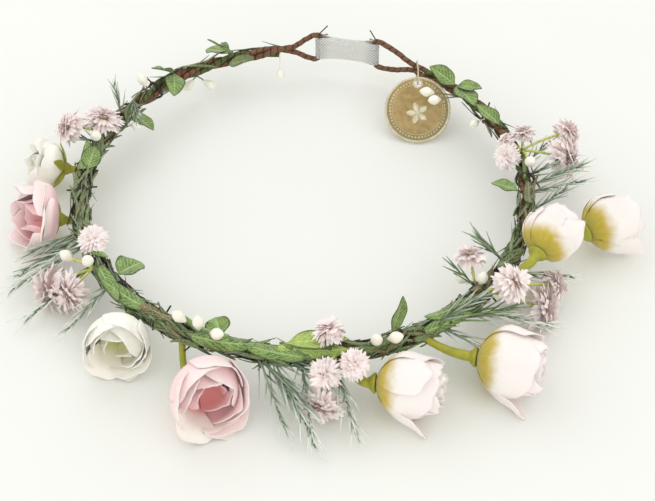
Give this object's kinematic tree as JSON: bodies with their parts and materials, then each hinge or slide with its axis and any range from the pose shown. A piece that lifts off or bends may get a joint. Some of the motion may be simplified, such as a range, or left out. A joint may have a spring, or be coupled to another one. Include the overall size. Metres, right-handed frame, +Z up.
{
  "type": "flower crown",
  "caption": "Flower crown: a twisted wire hoop in two halves with artificial roses, filler flowers, leaves and berries, an elastic strap at the back and a round swing tag.",
  "frame": {"origin": "centre of the hoop, on the surface that the crown rests on", "axes": "+Z up through the opening for the head, +Y from the hoop's centre to the elastic strap at the back, +X to the wearer's side with the tag"},
  "size_m": [0.2655, 0.2254, 0.0396],
  "materials": {
    "vine_paper": "matte",
    "stem_green": "matte",
    "elastic": "matte",
    "binding_wire": "matte",
    "petal_pink": "matte",
    "petal_cream": "matte",
    "petal_white": "matte",
    "rose_stem": "matte",
    "filler_blush": "matte",
    "berry_white": "matte",
    "leaf_green": "matte",
    "leaf_lime": "matte",
    "needle_sage": "matte",
    "tag_kraft": "matte",
    "thread_pale": "matte"
  },
  "bodies": {
    "left_half": {"vine_wire_left": "vine_paper", "garland_stem_left": "stem_green", "elastic_strap": "elastic", "binding_wire_1": "binding_wire", "binding_wire_2": "binding_wire", "binding_wire_3": "binding_wire", "rose_1_stem": "rose_stem", "rose_2_stem": "rose_stem", "rose_3_stem": "rose_stem", "rose_4_stem": "rose_stem", "filler_spray_1": "filler_blush", "filler_spray_2": "filler_blush", "filler_spray_3": "filler_blush", "berry_sprig_1": "berry_white", "berry_sprig_2": "berry_white", "berry_sprig_3": "berry_white", "leaf_spray_1": "leaf_green", "leaf_spray_2": "leaf_green", "leaf_3": "leaf_green", "leaf_4": "leaf_green", "leaf_5": "leaf_green", "leaf_6": "leaf_green", "needle_sprig_1": "needle_sage", "needle_sprig_2": "needle_sage"},
    "right_half": {"vine_wire_right": "vine_paper", "garland_stem_right": "stem_green", "binding_wire_4": "binding_wire", "binding_wire_5": "binding_wire", "rose_5_stem": "rose_stem", "rose_6_stem": "rose_stem", "rose_7_stem": "rose_stem", "rose_8_stem": "rose_stem", "filler_spray_4": "filler_blush", "filler_spray_5": "filler_blush", "filler_spray_6": "filler_blush", "filler_spray_7": "filler_blush", "berry_sprig_4": "berry_white", "berry_sprig_5": "berry_white", "berry_sprig_6": "berry_white", "leaf_7": "leaf_lime", "leaf_8": "leaf_green", "leaf_spray_9": "leaf_green", "leaf_10": "leaf_green", "leaf_11": "leaf_green", "needle_sprig_3": "needle_sage", "needle_sprig_4": "needle_sage", "needle_sprig_5": "needle_sage", "grass_sprig": "needle_sage"},
    "rose_1": {"rose_1_head": "petal_pink"},
    "rose_2": {"rose_2_head": "petal_cream"},
    "rose_3": {"rose_3_head": "petal_cream"},
    "rose_4": {"rose_4_head": "petal_pink"},
    "rose_5": {"rose_5_head": "petal_white"},
    "rose_6": {"rose_6_head": "petal_white"},
    "rose_7": {"rose_7_head": "petal_white"},
    "rose_8": {"rose_8_head": "petal_white"},
    "tag_thread_body": {"tag_thread": "thread_pale"},
    "tag_body": {"tag": "tag_kraft"}
  },
  "joints": [
    {"name": "hoop_spread", "type": "hinge", "parent": "left_half", "child": "right_half", "pos_m": [0, -0.092, 0.017], "axis": [0, 0, -1], "range_deg": [0, 5], "stiffness_Nm_per_rad": 0.5, "deforming": ["elastic_strap"]},
    {"name": "rose_1_turn", "type": "hinge", "parent": "left_half", "child": "rose_1", "pos_m": [-0.10555, -0.03532, 0.01287], "axis": [-0.9491, -0.2366, 0.2079], "continuous": true},
    {"name": "rose_2_turn", "type": "hinge", "parent": "left_half", "child": "rose_2", "pos_m": [-0.11343, -0.00396, 0.01231], "axis": [-0.9829, -0.1207, 0.1392], "continuous": true},
    {"name": "rose_3_turn", "type": "hinge", "parent": "left_half", "child": "rose_3", "pos_m": [-0.05158, -0.095, 0.01291], "axis": [0.3019, -0.8767, 0.3746], "continuous": true},
    {"name": "rose_4_turn", "type": "hinge", "parent": "left_half", "child": "rose_4", "pos_m": [-0.01178, -0.11208, 0.01311], "axis": [0.6436, -0.5795, 0.5], "continuous": true},
    {"name": "rose_5_turn", "type": "hinge", "parent": "right_half", "child": "rose_5", "pos_m": [0.058, -0.09464, 0.0141], "axis": [0.997, 0.0348, 0.0698], "continuous": true},
    {"name": "rose_6_turn", "type": "hinge", "parent": "right_half", "child": "rose_6", "pos_m": [0.09275, -0.07646, 0.0141], "axis": [0.9951, -0.0696, 0.0698], "continuous": true},
    {"name": "rose_7_turn", "type": "hinge", "parent": "right_half", "child": "rose_7", "pos_m": [0.10275, -0.01904, 0.0265], "axis": [0.4006, 0.8997, 0.1736], "continuous": true},
    {"name": "rose_8_turn", "type": "hinge", "parent": "right_half", "child": "rose_8", "pos_m": [0.12588, 0.0055, 0.0141], "axis": [0.7753, 0.6278, 0.0698], "continuous": true},
    {"name": "tag_swing", "type": "hinge", "parent": "right_half", "child": "tag_thread_body", "pos_m": [0.03446, 0.0853, 0.017], "axis": [-0.9848, -0.1736, 0], "range_deg": [0, 10]},
    {"name": "tag_turn", "type": "hinge", "parent": "tag_thread_body", "child": "tag_body", "pos_m": [0.03665, 0.07289, 0.01937], "axis": [0.1228, -0.6964, 0.7071], "range_deg": [-15, 10]}
  ]
}
